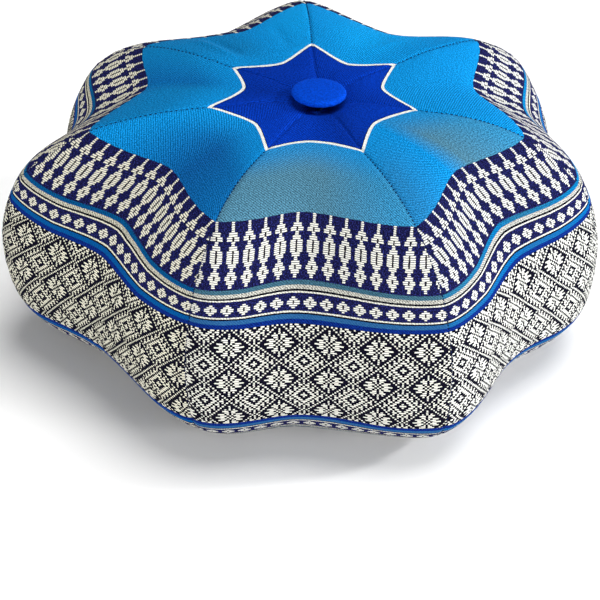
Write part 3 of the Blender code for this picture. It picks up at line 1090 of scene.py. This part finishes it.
def cover_grid(radius, thickness):
    """The cover's points: the disc, gathered under its rim and a little askew."""
    outline = disc_outline()
    turns = np.linspace(0, 2 * math.pi, BUTTON_SPOKES + 1)
    rim = np.exp(-((outline[:, 1] - GATHER_PLACE) / GATHER_SPREAD) ** 2) * (outline[:, 0] > RIM_SHARE)
    gather = 1 + GATHER_DEPTH * np.cos(turns * GATHERS)[None, :] * rim[:, None]
    x = outline[:, :1] * radius * np.cos(turns) * gather
    y = outline[:, :1] * radius * np.sin(turns) * gather
    z = BUTTON_BACK + outline[:, 1:] * thickness - BUTTON_FALL[0] * x - BUTTON_FALL[1] * y
    return np.stack((x + BUTTON_CENTRE.x, y + BUTTON_CENTRE.y, z), axis=-1)


def shank_grid():
    """The shank's points: a post of wound thread, closed at both ends."""
    height = np.linspace(BUTTON_FOOT, BUTTON_BACK + THREAD_TURN, SHANK_RINGS)
    radius = SHANK_RADIUS + THREAD_SWELL * np.cos(2 * math.pi * height / THREAD_TURN)
    radius[0] = radius[-1] = 0.0
    turns = np.linspace(0, 2 * math.pi, SHANK_SPOKES + 1)
    x = BUTTON_CENTRE.x + radius[:, None] * np.cos(turns)
    y = BUTTON_CENTRE.y + radius[:, None] * np.sin(turns)
    return np.stack((x, y, height[:, None] + np.zeros_like(x)), axis=-1)


class ZAFU_OT_cover_button(bpy.types.Operator):
    """Make the cloth-covered button at the top centre, on its shank of wound thread"""
    bl_idname = "zafu.cover_button"
    bl_label = "Cover button"

    def execute(self, context):
        settings = context.scene.zafu_button
        pieces = (
            ("button_cover", cover_grid(settings.radius, settings.thickness), button_cotton(settings)),
            ("button_shank", shank_grid(), thread_cotton()),
        )
        for name, grid, material in pieces:
            mesh = mesh_grid(name, grid[None])
            weld(mesh)
            piece = place_piece(name, mesh, material)
            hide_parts("button")
        return {"FINISHED"}


# What the camera looks at, and the place that its distance is measured from.
AIM = Vector((-0.0105, 0.0, 0.0084))
FOOT = Vector((0.0, 0.0, 0.011))
LIGHT_AIM = Vector((0.0, 0.0, 0.1))
# Places in metres; a sun's size is an angle and a softbox's is a width.
KEY_PLACE, KEY_SIZE = (0.6, 0.25, 2.6), math.radians(45)
SIDE_PLACE, SIDE_SIZE = (2.4, 0.25, 1.25), math.radians(7)
RIGHT_PLACE, RIGHT_SIZE = (2.6, -1.3, 0.5), 0.8
LEFT_PLACE, LEFT_SIZE = (-2.0, -2.1, 0.45), 0.9
FLOOR_REACH = 30.0
# The floor lies this far under the cushion, so that the two don't share a plane.
FLOOR_DROP = 0.4 * MM
SENSOR_WIDTH = 36.0
CLIP_END = 100.0


def look_from(camera, place, aim):
    camera.location = place
    camera.rotation_euler = (aim - place).to_track_quat("-Z", "Y").to_euler()


def add_light(name, kind, place, size, strength):
    """A wide soft sun, whose size is an angle, or a square softbox, whose size is a width."""
    light = bpy.data.lights.new(name, kind)
    if kind == "SUN":
        light.angle = size
    else:
        light.size = size
    light.energy = strength
    lamp = bpy.data.objects.new(name, light)
    bpy.context.scene.collection.objects.link(lamp)
    look_from(lamp, Vector(place), LIGHT_AIM)


def studio_paper(settings):
    """White paper sweep: quite matt, with no gloss at all."""
    material = bpy.data.materials.new("studio_paper")
    material.use_nodes = True
    shader = material.node_tree.nodes["Principled BSDF"]
    shader.inputs["Base Color"].default_value = (*[settings.floor_white] * 3, 1)
    shader.inputs["Roughness"].default_value = 1.0
    shader.inputs["Specular IOR Level"].default_value = 0.0
    return material


class ZAFU_OT_set_stage(bpy.types.Operator):
    """Lay the pale floor and set the soft light and the camera"""
    bl_idname = "zafu.set_stage"
    bl_label = "Set stage"

    def execute(self, context):
        settings = context.scene.zafu_stage
        mesh = bpy.data.meshes.new("floor")
        signs = ((-1, -1), (1, -1), (1, 1), (-1, 1))
        corners = [(x * FLOOR_REACH, y * FLOOR_REACH, -FLOOR_DROP) for x, y in signs]
        mesh.from_pydata(corners, [], [(0, 1, 2, 3)])
        mesh.materials.append(studio_paper(settings))
        floor = bpy.data.objects.new("floor", mesh)
        context.scene.collection.objects.link(floor)

        world = bpy.data.worlds.new("studio")
        world.use_nodes = True
        room = world.node_tree.nodes["Background"]
        room.inputs["Color"].default_value = (1, 1, 1, 1)
        room.inputs["Strength"].default_value = settings.sky_strength
        context.scene.world = world
        add_light("key", "SUN", KEY_PLACE, KEY_SIZE, settings.key_strength)
        add_light("side", "SUN", SIDE_PLACE, SIDE_SIZE, settings.side_strength)
        add_light("right", "AREA", RIGHT_PLACE, RIGHT_SIZE, settings.right_power)
        add_light("left", "AREA", LEFT_PLACE, LEFT_SIZE, settings.left_power)
        context.scene.view_settings.view_transform = "Standard"

        data = bpy.data.cameras.new("camera")
        data.lens = settings.lens
        data.sensor_width = SENSOR_WIDTH
        data.clip_end = CLIP_END
        camera = bpy.data.objects.new("camera", data)
        context.scene.collection.objects.link(camera)
        back = Vector((0, -math.cos(settings.elevation), math.sin(settings.elevation)))
        look_from(camera, FOOT + back * settings.distance, AIM)
        context.scene.camera = camera
        return {"FINISHED"}


class ZAFU_PT_maker(bpy.types.Panel):
    bl_label = "Lotus Zafu"
    bl_idname = "ZAFU_PT_maker"
    bl_space_type = "VIEW_3D"
    bl_region_type = "UI"
    bl_category = "Zafu"

    def draw(self, context):
        layout = self.layout
        for settings in (context.scene.zafu_cloth, context.scene.zafu_button, context.scene.zafu_stage):
            for name in settings.__annotations__:
                layout.prop(settings, name)
        for operator in OPERATORS:
            layout.operator(operator.bl_idname)


SETTINGS = (("zafu_cloth", ZafuClothSettings), ("zafu_button", ZafuButtonSettings),
            ("zafu_stage", ZafuStageSettings))
OPERATORS = (ZAFU_OT_sew_panels, ZAFU_OT_stitch_seams, ZAFU_OT_cover_button, ZAFU_OT_set_stage)


def register():
    for name, settings in SETTINGS:
        bpy.utils.register_class(settings)
        setattr(bpy.types.Scene, name, bpy.props.PointerProperty(type=settings))
    for operator in OPERATORS:
        bpy.utils.register_class(operator)
    bpy.utils.register_class(ZAFU_PT_maker)


def unregister():
    bpy.utils.unregister_class(ZAFU_PT_maker)
    for operator in reversed(OPERATORS):
        bpy.utils.unregister_class(operator)
    for name, settings in reversed(SETTINGS):
        delattr(bpy.types.Scene, name)
        bpy.utils.unregister_class(settings)


def main():
    register()
    bpy.ops.zafu.sew_panels()
    bpy.ops.zafu.stitch_seams()
    bpy.ops.zafu.cover_button()
    bpy.ops.zafu.set_stage()


if __name__ == "__main__":
    main()
